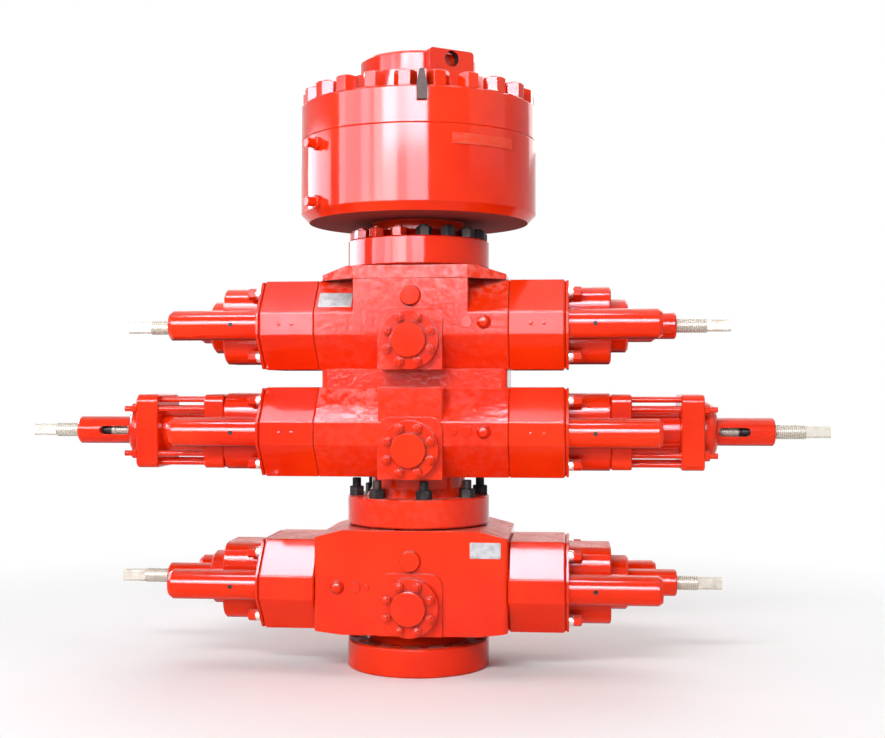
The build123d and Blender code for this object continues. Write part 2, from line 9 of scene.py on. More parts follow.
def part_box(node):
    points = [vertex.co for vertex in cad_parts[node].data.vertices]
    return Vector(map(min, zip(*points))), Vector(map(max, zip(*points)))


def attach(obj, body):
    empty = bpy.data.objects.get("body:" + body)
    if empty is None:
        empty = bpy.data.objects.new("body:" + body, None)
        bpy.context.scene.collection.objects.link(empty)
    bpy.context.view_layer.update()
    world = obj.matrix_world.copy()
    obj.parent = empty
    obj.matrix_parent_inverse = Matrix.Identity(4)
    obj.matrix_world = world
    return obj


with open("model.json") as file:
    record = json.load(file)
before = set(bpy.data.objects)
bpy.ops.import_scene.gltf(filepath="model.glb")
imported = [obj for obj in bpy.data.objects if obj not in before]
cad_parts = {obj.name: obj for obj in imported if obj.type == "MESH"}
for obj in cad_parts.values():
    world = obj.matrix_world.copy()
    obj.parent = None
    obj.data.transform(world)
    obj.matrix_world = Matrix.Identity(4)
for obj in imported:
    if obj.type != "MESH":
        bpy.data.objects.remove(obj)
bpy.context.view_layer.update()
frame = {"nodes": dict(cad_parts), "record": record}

# Camera, as the photograph was taken
camera_distance = 6.214
camera_azimuth = math.radians(6.67)
camera_height = 1.335
camera_pan = math.radians(1.05)
camera_tilt = math.radians(0.64)
camera_lens_mm = 52.76

# Sizes of the CAD pieces that the dressing follows, in metres
cover_rim_drop = 0.223
flange_thickness = 0.132
outlet_drop = 0.074
outlet_boss_height = 0.024
corner_cut_height = 0.155
corner_cut_depth = 0.140
bonnet_plate_thickness = 0.012
ram_change_offset = 0.258
rod_far_offset = 0.150
rod_near_offset = 0.106
screw_drive_length = 0.112
port_angle = math.radians(-138)
port_levels_below_seam = (0.055, 0.321)
plug_distance = 0.334
plug_rise = 0.008
plug_height = 0.026
lug_angle = math.radians(-55)
lug_hole_drop = 0.042
lug_hole_radius = 0.0365
bore_radius = 0.17305
packer_lip_height = 0.026
packer_lip_width = 0.030

# Nuts and bolts: width across the flats, height of the head or nut, radius and length of the stud end
round_steps = 24
crease_angle = math.radians(28)
nut_chamfer_share = 0.94
stud_chamfer = 0.003
cover_nut = {"across_flats": 0.090, "height": 0.070, "stud_radius": 0.027, "stud_length": 0.006}
cover_nut_count = 22
cover_nut_circle_radius = 0.505
flange_nut = {"across_flats": 0.065, "height": 0.042, "stud_radius": 0.0205, "stud_length": 0.040}
upper_flange_nut = {"across_flats": 0.065, "height": 0.042, "stud_radius": 0.0205, "stud_length": 0.010}
flange_nut_count = 16
flange_nut_circle_radius = 0.2953
bonnet_bolt = {"across_flats": 0.046, "height": 0.044, "stud_radius": 0.015, "stud_length": 0.004}
bonnet_bolt_across = 0.216
bonnet_bolt_rise = 0.146
outlet_bolt = {"across_flats": 0.038, "height": 0.026, "stud_radius": 0.012, "stud_length": 0.010}
outlet_bolt_count = 8
outlet_bolt_circle_radius = 0.107
rod_nut = {"across_flats": 0.042, "height": 0.024, "stud_radius": 0.0132, "stud_length": 0.0}
port_collar = {"across_flats": 0.054, "height": 0.022, "stud_radius": 0.016, "stud_length": 0.006}

# Domed collars under the bonnets' bolts: the dome's rings as shares of its radius and height
bonnet_collar_radius = 0.027
bonnet_collar_height = 0.026
bonnet_collar_dome = 0.012
collar_dome_shares = ((0.9, 0.6), (0.7, 1.0))

# Vent screws, port plugs' domes and small plugs
vent_distance = 0.835
vent_radius = 0.010
vent_height = 0.003
plug_dome_radius = 0.0235
plug_dome_height = 0.0042
dome_radius_shares = (1.0, 0.9, 0.78, 0.64, 0.48, 0.3, 0.12)
flange_plug_distances = (0.547, 0.606)
flange_plug_radius = 0.009
flange_plug_height = 0.003

# Plates, two of them bare and one painted
barrel_plate_size = (0.155, 0.090)
barrel_plate_centre_x = -0.352
barrel_plate_slope_share = 0.62
single_plate_size = (0.140, 0.072)
single_plate_centre_x = 0.341
single_plate_drop = 0.086
plate_thickness = 0.003
plate_corner_radius = 0.006
plate_rivet_radius = 0.005
plate_rivet_height = 0.003
plate_rivet_inset = 0.010
casing_plate_angle = math.radians(-51.7)
casing_plate_half_angle = math.radians(16.3)
casing_plate_half_height = 0.024
casing_plate_thickness = 0.006
casing_plate_drop = 0.066

# Steel fingers moulded into the top of the packing element
finger_count = 18
finger_half_angle = math.radians(6.5)
finger_inner_radius = 0.177
finger_outer_radius = 0.1995
finger_rise = 0.002

# Wear and painted light: where the double's paint has gone chalky, with a painted highlight that is stronger
# on the left, and a painted shade on the part of the lower boosters' screws in their slots
chalk_and_sheen_pad_levels = (1.70, 1.82)
chalk_and_sheen_slope_levels = (1.40, 1.34)
chalk_and_sheen_reach = (0.30, -0.25)
chalk_and_sheen_strength = 0.7
casting_lump_height = 0.0028
slot_shade_from_end_plate = (0.165, 0.240)
slot_shade_edge = 0.01

# Floor
floor_half_size = 30.0
floor_drop = 0.0005
floor_fade = (1.5, 4.5)
floor_colour = (0.88, 0.88, 0.88, 1)
floor_roughness = 0.9

# Even light from all round, soft panels that light the object, and bright cards that show in reflections only
# Each panel or card has the place where it stands, what it faces, its size and its brightness
ambient = 0.10
panels = {
    "front_sky": ((-0.9, -7.9, 5.3), (-0.9, 0, 1.1), (5.0, 0.8), 32.0),
    "front_left_soft": ((-3.66, -8.22, 3.5), (0, 0, 2.3), (3.4, 2.4), 12.0),
    "overhead_soft": ((0, 0, 8.5), (0, 0, 0), (7.0, 7.0), 1.3),
    "right_fill": ((7.53, -2.02, 5.8), (0, 0, 1.3), (6.5, 4.8), 1.0),
    "back_fill": ((1.28, 7.26, 6.46), (0, 0, 1.3), (10.4, 5.9), 2.4),
}
card_colour = (0.92, 0.86, 1.0)
cards = {
    "far_left_card": ((-8.69, 2.33, 3.68), (0, 0, 3.68), (6.7, 0.95), 12.0),
    "neck_card": ((-8.16, 3.80, 2.88), (0, 0, 2.88), (8.4, 0.60), 15.0),
    "low_left_card": ((-2.30, -9.13, 2.02), (-2.30, 0, 1.6), (1.5, 0.40), 28.0),
    "low_right_card": ((0.15, -9.13, 2.02), (0.15, 0, 1.6), (1.4, 0.40), 20.0),
    "high_card": ((-1.07, -2.25, 9.15), (-1.07, 0, 0.5), (4.6, 1.3), 52.0),
    "sky_card": ((-1.0, -7.6, 4.9), (-1.0, 0, 1.1), (6.0, 2.4), 34.0),
    "slope_left_card": ((-2.15, -1.12, 9.15), (-2.15, -1.12, 0.5), (2.3, 0.75), 10.0),
    "slope_right_card": ((0.02, -1.12, 9.15), (0.02, -1.12, 0.5), (1.5, 0.75), 3.5),
}

# The bright front wall that the round housings reflect, in strips: degrees from the front, and brightness
wall_distance = 9.0
wall_height = 2.65
wall_middle = 3.88
wall_strips = (
    (-73, -66, 17.0),
    (-66, -48, 13.0),
    (-48, -39, 22.0),
    (-39, -25, 15.0),
    (-25, -14, 20.0),
    (-14, -4, 14.0),
    (-4, 15, 23.0),
)

# Places worked out from the frame
levels = {
    name: (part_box(f"{name}_ram_change_cylinders")[0][2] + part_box(f"{name}_ram_change_cylinders")[1][2]) / 2
    for name in ("single", "lower", "upper")
}
annular_low, annular_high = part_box("annular_lower_housing")
annular_radius = annular_high[0]
annular_seam = annular_high[2]
cover_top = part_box("annular_upper_housing")[1][2]
double_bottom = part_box("double_ram_body")[0][2]
single_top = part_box("single_ram_body")[1][2]
barrel_low, barrel_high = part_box("upper_left_intermediate_flange")
front_face = barrel_low[1]
outlet_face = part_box("outlet_blind_flanges")[1][1] - outlet_boss_height
bonnet_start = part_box("upper_right_intermediate_flange")[1][0]
rod_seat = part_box("right_booster_end_plate")[1][0]
sides = (-1, 1)


def facing(direction, at, turn=0.0):
    """Matrix that stands a shape on a point, its z along a direction, turned about that direction."""
    stand = Vector(direction).to_track_quat("Z", "Y").to_matrix().to_4x4()
    return Matrix.Translation(Vector(at)) @ stand @ Matrix.Rotation(turn, 4, "Z")


def circle_ring(radius, height):
    """Points of a circle at a height."""
    steps = [2 * math.pi * step / round_steps for step in range(round_steps)]
    return [Vector((radius * math.cos(angle), radius * math.sin(angle), height)) for angle in steps]


def hexagon_ring(across_flats, height, chamfer_radius=None):
    """Points of a hexagon at a height, its corners dropped along a 30 degree cone if it has a chamfer."""
    ring = []
    half_side = math.pi / 6
    for step in range(round_steps):
        angle = 2 * math.pi * step / round_steps
        from_flat = (angle + half_side) % (2 * half_side) - half_side
        radius = across_flats / 2 / math.cos(from_flat)
        drop = max(0.0, radius - chamfer_radius) * math.tan(half_side) if chamfer_radius else 0.0
        ring.append(Vector((radius * math.cos(angle), radius * math.sin(angle), height - drop)))
    return ring


def rectangle_ring(width, height, corner_radius, level):
    """Points of a round-cornered rectangle at a level."""
    ring = []
    corner_steps = round_steps // 4
    for quarter, (across, up) in enumerate(((1, 1), (-1, 1), (-1, -1), (1, -1))):
        for step in range(corner_steps + 1):
            angle = math.pi / 2 * (quarter + step / corner_steps)
            x = across * (width / 2 - corner_radius) + corner_radius * math.cos(angle)
            y = up * (height / 2 - corner_radius) + corner_radius * math.sin(angle)
            ring.append(Vector((x, y, level)))
    return ring


def add_rings(shape, place, rings):
    """Adds a closed form through a row of rings."""
    loops = [[shape.verts.new(place @ point) for point in ring] for ring in rings]
    shape.faces.new(loops[0][::-1])
    shape.faces.new(loops[-1])
    for low, high in zip(loops, loops[1:]):
        for here, (first, second) in enumerate(zip(low, high)):
            shape.faces.new((low[here - 1], first, second, high[here - 1]))


def add_nut(shape, place, across_flats, height, stud_radius, stud_length):
    """Adds a hexagon nut or bolt head with chamfered corners, and the stud end that stands out of it."""
    chamfer_radius = across_flats / 2 * nut_chamfer_share
    rings = [
        hexagon_ring(across_flats, 0.0),
        hexagon_ring(across_flats, height, chamfer_radius),
        circle_ring(chamfer_radius, height),
    ]
    if stud_length:
        rings += [
            circle_ring(stud_radius, height),
            circle_ring(stud_radius, height + stud_length - stud_chamfer),
            circle_ring(stud_radius - stud_chamfer, height + stud_length),
        ]
    add_rings(shape, place, rings)


def add_plate(shape, place, size):
    """Adds a thin round-cornered plate with four rivets."""
    width, height = size
    edge = plate_thickness / 3
    top = plate_thickness + plate_rivet_height
    outlines = ((0.0, 0.0), (0.0, plate_thickness - edge), (edge, plate_thickness))
    add_rings(
        shape,
        place,
        [
            rectangle_ring(width - 2 * inset, height - 2 * inset, plate_corner_radius, level)
            for inset, level in outlines
        ],
    )
    for across in sides:
        for up in sides:
            x = across * (width / 2 - plate_rivet_inset)
            y = up * (height / 2 - plate_rivet_inset)
            add_rings(
                shape,
                place @ Matrix.Translation((x, y, 0.0)),
                [
                    circle_ring(plate_rivet_radius, plate_thickness / 2),
                    circle_ring(plate_rivet_radius, (plate_thickness + top) / 2),
                    circle_ring(plate_rivet_radius / 2, top),
                ],
            )


def add_arc_bar(shape, angle, half_angle, section):
    """Adds a bar swept round the wellbore's axis through an angle, its section given as radii and heights."""
    loops = []
    for step in range(round_steps + 1):
        here = angle + half_angle * (2 * step / round_steps - 1)
        loops.append([Vector((r * math.cos(here), r * math.sin(here), z)) for r, z in section])
    add_rings(shape, Matrix.Identity(4), loops)


def finish_piece(shape, name, material, body="stack"):
    """Turns a finished shape into a piece of the object that rides on one of its bodies."""
    bmesh.ops.recalc_face_normals(shape, faces=shape.faces)
    mesh = bpy.data.meshes.new(name)
    shape.to_mesh(mesh)
    shape.free()
    mesh.polygons.foreach_set("use_smooth", [True] * len(mesh.polygons))
    mesh.set_sharp_from_angle(angle=crease_angle)
    mesh.materials.append(material)
    piece = bpy.data.objects.new(name, mesh)
    bpy.context.scene.collection.objects.link(piece)
    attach(piece, body)


def add_node(tree, kind, sockets=None, **settings):
    """Adds a shader node, its inputs set to values or joined to other nodes' outputs."""
    made = tree.nodes.new(kind)
    for key, value in settings.items():
        setattr(made, key, value)
    for key, value in (sockets or {}).items():
        if isinstance(value, bpy.types.NodeSocket):
            tree.links.new(value, made.inputs[key])
        else:
            made.inputs[key].default_value = value
    return made


def vector_math(tree, operation, first, second=(0, 0, 0)):
    """Node that joins two vectors."""
    return add_node(tree, "ShaderNodeVectorMath", {0: first, 1: second}, operation=operation).outputs


def noise(tree, place, scale, detail=4.0, stretch=(1.0, 1.0, 1.0)):
    """Noise through the object, from 0 to 1, in cycles to the metre."""
    scaled = vector_math(tree, "MULTIPLY", place, stretch)[0]
    sockets = {"Vector": scaled, "Scale": scale, "Detail": detail}
    return add_node(tree, "ShaderNodeTexNoise", sockets).outputs[0]


def remap(tree, value, source, target=(0.0, 1.0)):
    """Carries a range of a value over to another range, clamped."""
    sockets = {"Value": value, "From Min": source[0], "From Max": source[1]}
    sockets |= {"To Min": target[0], "To Max": target[1]}
    return add_node(tree, "ShaderNodeMapRange", sockets).outputs[0]


def combine(tree, operation, first, second):
    """Joins two values by an operation."""
    return add_node(tree, "ShaderNodeMath", {0: first, 1: second}, operation=operation).outputs[0]


def multiply(tree, first, second):
    """Multiplies two values."""
    return combine(tree, "MULTIPLY", first, second)


def split(tree, vector):
    """A vector's three parts."""
    return add_node(tree, "ShaderNodeSeparateXYZ", {0: vector}).outputs


def blend(tree, share, first, second):
    """Mixes two colours."""
    return add_node(tree, "ShaderNodeMix", {0: share, 6: first, 7: second}, data_type="RGBA").outputs[2]


def bump(tree, height, distance, strength, **under):
    """Normal of a surface raised by a height pattern, over another normal if there is one."""
    sockets = {"Height": height, "Distance": distance, "Strength": strength, **under}
    return add_node(tree, "ShaderNodeBump", sockets).outputs[0]


def new_material(name):
    """A material, its node tree, its surface shader and the place on the object."""
    material = bpy.data.materials.new(name)
    material.use_nodes = True
    tree = material.node_tree
    place = add_node(tree, "ShaderNodeTexCoord").outputs["Object"]
    return material, tree, tree.nodes["Principled BSDF"], place


def set_shader(tree, shader, sockets):
    """Sets the surface shader's inputs to values or joins them to other nodes' outputs."""
    for key, value in sockets.items():
        if isinstance(value, bpy.types.NodeSocket):
            tree.links.new(value, shader.inputs[key])
        else:
            shader.inputs[key].default_value = value


def chalk_and_sheen_mask(tree, place, facing_up, strength):
    """Chalky patches, partly a painted highlight, on the double's pad and on the slopes of its lower barrel,
    more on the left.
    """
    pad_shares = (0.1, 0.8)
    slope_range = (0.3, 0.6)
    reach_shares = (0.2, 1.0)
    patch_range = (0.42, 0.66)
    across, _, height = split(tree, place)
    on_pad = remap(tree, height, chalk_and_sheen_pad_levels, pad_shares)
    on_slope = multiply(tree, remap(tree, facing_up, slope_range), remap(tree, height, chalk_and_sheen_slope_levels))
    on_left = multiply(tree, on_slope, remap(tree, across, chalk_and_sheen_reach, reach_shares))
    patches = remap(tree, noise(tree, place, scale=26.0, detail=10.0), patch_range, (0.0, strength))
    return multiply(tree, combine(tree, "MAXIMUM", on_pad, on_left), patches)


def hole_mask(tree, place, angle, level, radius):
    """Inside of the holes through the lugs, which face along an angle."""
    beside = vector_math(tree, "DOT_PRODUCT", place, (-math.sin(angle), math.cos(angle), 0))["Value"]
    above = combine(tree, "SUBTRACT", split(tree, place)[2], level)
    spot = add_node(tree, "ShaderNodeCombineXYZ", {0: beside, 1: above}).outputs[0]
    return combine(tree, "LESS_THAN", vector_math(tree, "LENGTH", spot)["Value"], radius)


def enamel(name, casting_height=0.0, chalk_and_sheen=0.0, shaded_hole=None):
    """Glossy orange-red enamel: drifting colour, dust on top, painted shade below, grime with painted shade in
    corners and chipped edges.

    On the double it lies on a rough casting and has chalky patches, partly a painted highlight, and in the
    lugs' holes it is painted nearly black, a painted shade.
    """
    fresh = (0.84, 0.034, 0.002, 1)
    deep = (0.75, 0.019, 0.001, 1)
    dust_colour = (0.50, 0.17, 0.13, 1)
    # Grime with painted shade in the corners
    grime_and_shade_colour = (0.11, 0.014, 0.008, 1)
    # Painted shade underneath
    underside_shade_colour = (0.20, 0.020, 0.014, 1)
    primer_colour = (0.30, 0.10, 0.07, 1)
    # Chalky paint, partly a painted highlight
    chalk_and_sheen_colour = (0.86, 0.24, 0.21, 1)
    # Painted shade inside the lugs' holes
    hole_shade_colour = (0.020, 0.016, 0.014, 1)
    drift_range = (0.35, 0.68)
    top_range = (0.75, 0.97)
    underside_range = (-0.85, -0.98)
    dust_range, dust_shares = (0.3, 0.75), (0.25, 0.85)
    grime_and_shade_range, grime_and_shade_shares = (0.3, 0.7), (0.2, 0.6)
    corner_range = (0.7, 0.2)
    edge_range = (0.985, 0.93)
    chip_range = (0.27, 0.36)
    gloss_range, gloss_roughness = (0.25, 0.75), (0.06, 0.13)
    dust_roughness, grime_roughness, underside_roughness = 0.75, 0.6, 0.85
    edge_width = 0.004
    corner_reach = 0.05
    peel_height, peel_strength = 0.0004, 0.22
    lump_strength = 0.6
    specular = 0.20
    material, tree, shader, place = new_material(name)
    normal = add_node(tree, "ShaderNodeNewGeometry").outputs["Normal"]
    rounded = add_node(tree, "ShaderNodeBevel", {"Radius": edge_width}, samples=4).outputs[0]
    corners = add_node(tree, "ShaderNodeAmbientOcclusion", {"Distance": corner_reach}, samples=6)
    stains = noise(tree, place, scale=9.0, detail=6.0, stretch=(1.0, 1.0, 0.35))
    speckle = noise(tree, place, scale=55.0, detail=3.0)
    facing_up = split(tree, normal)[2]

    colour = blend(tree, remap(tree, noise(tree, place, scale=2.4), drift_range), fresh, deep)
    # Chalky paint, partly a painted highlight: paler patches on the cast pad and slopes
    if chalk_and_sheen:
        colour = blend(tree, chalk_and_sheen_mask(tree, place, facing_up, chalk_and_sheen), colour, chalk_and_sheen_colour)
    settled = multiply(tree, remap(tree, facing_up, top_range), remap(tree, stains, dust_range, dust_shares))
    colour = blend(tree, settled, colour, dust_colour)
    # Painted shade: darker and duller on the faces that look down
    underside_shade = remap(tree, facing_up, underside_range)
    colour = blend(tree, underside_shade, colour, underside_shade_colour)
    # Grime and painted shade: darker and rougher where the corners shut out the light, in patches
    grime_and_shade = remap(tree, corners.outputs["AO"], corner_range)
    grime_and_shade = multiply(tree, grime_and_shade, remap(tree, stains, grime_and_shade_range, grime_and_shade_shares))
    colour = blend(tree, grime_and_shade, colour, grime_and_shade_colour)
    edge = remap(tree, vector_math(tree, "DOT_PRODUCT", rounded, normal)["Value"], edge_range)
    chipped = multiply(tree, edge, remap(tree, multiply(tree, speckle, stains), chip_range))
    colour = blend(tree, chipped, colour, primer_colour)
    # Painted shade: the inside of the lugs' holes painted nearly black
    if shaded_hole:
        colour = blend(tree, hole_mask(tree, place, *shaded_hole), colour, hole_shade_colour)

    roughness = remap(tree, stains, gloss_range, gloss_roughness)
    for dirt_and_shade, rough in ((settled, dust_roughness), (grime_and_shade, grime_roughness), (underside_shade, underside_roughness)):
        roughness = combine(tree, "MAXIMUM", roughness, multiply(tree, dirt_and_shade, rough))

    skin = bump(tree, noise(tree, place, scale=160.0, detail=2.0), peel_height, peel_strength, Normal=rounded)
    if casting_height:
        lumps = noise(tree, place, scale=38.0, detail=5.0)
        skin = bump(tree, lumps, casting_height, lump_strength, Normal=skin)
    set_shader(
        tree,
        shader,
        {"Base Color": colour, "Roughness": roughness, "Normal": skin, "Specular IOR Level": specular},
    )
    return material


def faded_enamel():
    """The annular's plate: the same enamel, paler and duller where it is rubbed."""
    fresh = (0.80, 0.042, 0.010, 1)
    faded = (0.76, 0.085, 0.045, 1)
    colour_range = (0.35, 0.65)
    dull_range, dull_roughness = (0.3, 0.7), (0.30, 0.48)
    specular = 0.20
    material, tree, shader, place = new_material("faded_enamel")
    rubbed = noise(tree, place, scale=24.0, detail=6.0, stretch=(1.0, 1.0, 2.5))
    colour = blend(tree, remap(tree, rubbed, colour_range), fresh, faded)
    roughness = remap(tree, rubbed, dull_range, dull_roughness)
    set_shader(tree, shader, {"Base Color": colour, "Roughness": roughness, "Specular IOR Level": specular})
    return material


def dark_steel():
    """Blackened studs and nuts with oily brown patches."""
    black = (0.016, 0.016, 0.019, 1)
    brown = (0.055, 0.038, 0.030, 1)
    brown_range = (0.40, 0.66)
    oil_range, oil_roughness = (0.3, 0.7), (0.34, 0.58)
    grain_height, grain_strength = 0.0005, 0.4
    metallic = 0.2
    specular = 0.10
    material, tree, shader, place = new_material("dark_oiled_steel")
    patches = noise(tree, place, scale=22.0, detail=5.0)
    grain = noise(tree, place, scale=240.0, detail=2.0)
    set_shader(
        tree,
        shader,
        {
            "Base Color": blend(tree, remap(tree, patches, brown_range), black, brown),
            "Roughness": remap(tree, patches, oil_range, oil_roughness),
            "Normal": bump(tree, grain, grain_height, grain_strength),
            "Metallic": metallic,
            "Specular IOR Level": specular,
        },
    )
    return material


def plated_steel(name, light, shade, roughness, metallic=0.85):
    """Bare or plated metal with dull spots and fine brush lines."""
    spot_range = (0.42, 0.72)
    line_range, line_shares = (0.3, 0.7), (0.5, 1.0)
    grain_height, grain_strength = 0.0003, 0.3
    material, tree, shader, place = new_material(name)
    spots = noise(tree, place, scale=30.0, detail=5.0)
    lines = noise(tree, place, scale=60.0, detail=3.0, stretch=(0.6, 4.0, 9.0))
    worn = multiply(tree, remap(tree, spots, spot_range), remap(tree, lines, line_range, line_shares))
    set_shader(
        tree,
        shader,
        {
            "Base Color": blend(tree, worn, light, shade),
            "Roughness": remap(tree, lines, line_range, roughness),
            "Normal": bump(tree, lines, grain_height, grain_strength),
            "Metallic": metallic,
        },
    )
    return material


def screw_steel(name, level, side, drive_start, slot_shade=None):
    """A lock screw's pale steel: threaded as far as its drive end, stained in the thread with a painted shade
    in its grooves, and with a painted shade band if told.
    """
    pitch = 0.0095
    thread_height, thread_strength = 0.0022, 0.8
    bright = (0.62, 0.60, 0.52, 1)
    # Darker colour for stains and for the painted shade in the thread
    stained_and_shaded = (0.32, 0.26, 0.18, 1)
    # Painted shade for the screw's part in the far end of its slot
    slot_shade_colour = (0.014, 0.012, 0.011, 1)
    crest_range = (-0.45, 0.45)
    stain_range, stain_share = (0.45, 0.7), 0.6
    groove_shade_share = 0.55
    dull_range, dull_roughness = (0.3, 0.7), (0.26, 0.46)
    metallic = 0.15
    specular = 0.3
    material, tree, shader, place = new_material(name)
    across, back, height = split(tree, place)
    turn = combine(tree, "ARCTAN2", back, combine(tree, "SUBTRACT", height, level))
    winding = combine(tree, "ADD", multiply(tree, across, 2 * math.pi / pitch), turn)
    wave = add_node(tree, "ShaderNodeMath", {0: winding}, operation="SINE").outputs[0]
    out = multiply(tree, across, side)
    threaded = combine(tree, "LESS_THAN", out, drive_start)
    crest = multiply(tree, remap(tree, wave, crest_range), threaded)
    patches = noise(tree, place, scale=26.0, detail=5.0)
    # Stains, and a painted shade in the thread's grooves
    groove_shade = multiply(tree, combine(tree, "SUBTRACT", threaded, crest), groove_shade_share)
    dirt_and_shade = combine(tree, "MAXIMUM", multiply(tree, remap(tree, patches, stain_range), stain_share), groove_shade)
    colour = blend(tree, dirt_and_shade, bright, stained_and_shaded)
    # Painted shade: the part of the screw in the far end of the housing's slot painted nearly black
    if slot_shade:
        start, stop = slot_shade
        inner = remap(tree, out, (start, start + slot_shade_edge))
        outer = remap(tree, out, (stop, stop - slot_shade_edge))
        colour = blend(tree, multiply(tree, inner, outer), colour, slot_shade_colour)
    set_shader(
        tree,
        shader,
        {
            "Base Color": colour,
            "Roughness": remap(tree, patches, dull_range, dull_roughness),
            "Normal": bump(tree, crest, thread_height, thread_strength),
            "Metallic": metallic,
            "Specular IOR Level": specular,
        },
    )
    return material


def rubber():
    """Black moulded rubber, dusty and slightly pitted."""
    black = (0.012, 0.012, 0.013, 1)
    dusty = (0.06, 0.055, 0.05, 1)
    dust_range = (0.4, 0.75)
    dull_range, dull_roughness = (0.3, 0.7), (0.55, 0.8)
    pit_depth, pit_strength = 0.0008, 0.35
    material, tree, shader, place = new_material("moulded_rubber")
    bloom = noise(tree, place, scale=14.0, detail=5.0)
    pits = noise(tree, place, scale=190.0, detail=2.0)
    set_shader(
        tree,
        shader,
        {
            "Base Color": blend(tree, remap(tree, bloom, dust_range), black, dusty),
            "Roughness": remap(tree, bloom, dull_range, dull_roughness),
            "Normal": bump(tree, pits, pit_depth, pit_strength),
        },
    )
    return material


# Materials on the CAD nodes
smooth_enamel = enamel("orange_enamel_machined")
cast_enamel = enamel("orange_enamel_on_casting", casting_lump_height, chalk_and_sheen_strength)
lug_hole_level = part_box("lifting_lugs")[1][2] - lug_hole_drop
lug_enamel = enamel("orange_enamel_on_lugs", shaded_hole=(lug_angle, lug_hole_level, lug_hole_radius))
rubbed_enamel = faded_enamel()
black_steel = dark_steel()
zinc_steel = plated_steel(
    "zinc_plated_steel", light=(0.86, 0.84, 0.80, 1), shade=(0.52, 0.46, 0.40, 1), roughness=(0.20, 0.36)
)
plate_steel = plated_steel(
    "plate_aluminium",
    light=(0.34, 0.35, 0.34, 1),
    shade=(0.17, 0.18, 0.18, 1),
    roughness=(0.45, 0.62),
    metallic=0.2,
)
gasket_steel = plated_steel(
    "gasket_iron", light=(0.10, 0.095, 0.09, 1), shade=(0.05, 0.04, 0.035, 1), roughness=(0.4, 0.6)
)
packer_rubber = rubber()
slot_materials = {
    "orange_enamel": smooth_enamel,
    "dark_steel": black_steel,
    "gasket_steel": gasket_steel,
    "packer_rubber": packer_rubber,
}
for subpart in frame["record"]["subparts"]:
    node = frame["nodes"][subpart["node"]]
    if subpart["node"] == "double_ram_body":
        material = cast_enamel
    elif subpart["node"].endswith("lock_screw"):
        level_name, side_name = subpart["node"].split("_")[:2]
        side = 1 if side_name == "right" else -1
        low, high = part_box(subpart["node"])
        drive_start = max(-low[0], high[0]) - screw_drive_length
        slot_shade = [rod_seat + out for out in slot_shade_from_end_plate] if level_name == "lower" else None
        screw_name = f"{level_name}_{side_name}_screw_steel"
        material = screw_steel(screw_name, levels[level_name], side, drive_start, slot_shade)
    elif subpart["node"] == "lifting_lugs":
        material = lug_enamel
    else:
        material = slot_materials[subpart["material_slot"]]
    node.data.materials.clear()
    node.data.materials.append(material)

# Nuts on the annular preventer's cover
cover_nuts = bmesh.new()
for place in range(cover_nut_count):
    angle = 2 * math.pi * place / cover_nut_count - math.pi / 2
    at = (
        cover_nut_circle_radius * math.cos(angle),
        cover_nut_circle_radius * math.sin(angle),
        cover_top - cover_rim_drop,
    )
    add_nut(cover_nuts, facing((0, 0, 1), at, angle), **cover_nut)
finish_piece(cover_nuts, "cover_nuts", smooth_enamel)

# Nuts on the two inner flanges: under the annular those on the left are painted and the rest are black
# The double's own flange has black ones in every second hole
painted_nuts = bmesh.new()
black_nuts = bmesh.new()
for place in range(flange_nut_count):
    angle = 2 * math.pi * (place + 0.5) / flange_nut_count
    across = flange_nut_circle_radius * math.cos(angle)
    back = flange_nut_circle_radius * math.sin(angle)
    annular_seat = (across, back, annular_low[2] + flange_thickness)
    double_seat = (across, back, double_bottom + flange_thickness)
    upper_nuts = painted_nuts if across < 0 else black_nuts
    add_nut(upper_nuts, facing((0, 0, 1), annular_seat, angle), **upper_flange_nut)
    if place % 2 == 0:
        add_nut(black_nuts, facing((0, 0, 1), double_seat, angle), **flange_nut)
finish_piece(painted_nuts, "painted_flange_nuts", smooth_enamel)
finish_piece(black_nuts, "black_flange_nuts", black_steel)

# Bolts with domed collars at the bonnets' corners, and vent screws on the ram change cylinders
cylinder_radius = levels["upper"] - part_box("upper_ram_change_cylinders")[0][2]
collar_shoulder = bonnet_collar_height - bonnet_collar_dome
collar_rings = [circle_ring(bonnet_collar_radius, 0.0), circle_ring(bonnet_collar_radius, collar_shoulder)]
collar_rings += [
    circle_ring(bonnet_collar_radius * wide, collar_shoulder + bonnet_collar_dome * tall)
    for wide, tall in collar_dome_shares
]
bonnet_bolts = bmesh.new()
bonnet_collars = bmesh.new()
vent_screws = bmesh.new()
for level in levels.values():
    for side in sides:
        seat = side * (bonnet_start + bonnet_plate_thickness)
        for face in sides:
            for up in sides:
                at = Vector((seat, face * bonnet_bolt_across, level + up * bonnet_bolt_rise))
                head = at + Vector((side * collar_shoulder, 0, 0))
                add_rings(bonnet_collars, facing((side, 0, 0), at), collar_rings)
                add_nut(bonnet_bolts, facing((side, 0, 0), head), **bonnet_bolt)
            vent = (side * vent_distance, face * (ram_change_offset + cylinder_radius), level)
            add_rings(
                vent_screws,
                facing((0, face, 0), vent),
                [circle_ring(vent_radius, -vent_height), circle_ring(vent_radius, vent_height)],
            )
finish_piece(bonnet_bolts, "bonnet_bolts", smooth_enamel)
finish_piece(bonnet_collars, "bonnet_bolt_collars", zinc_steel)
finish_piece(vent_screws, "vent_screws", black_steel)

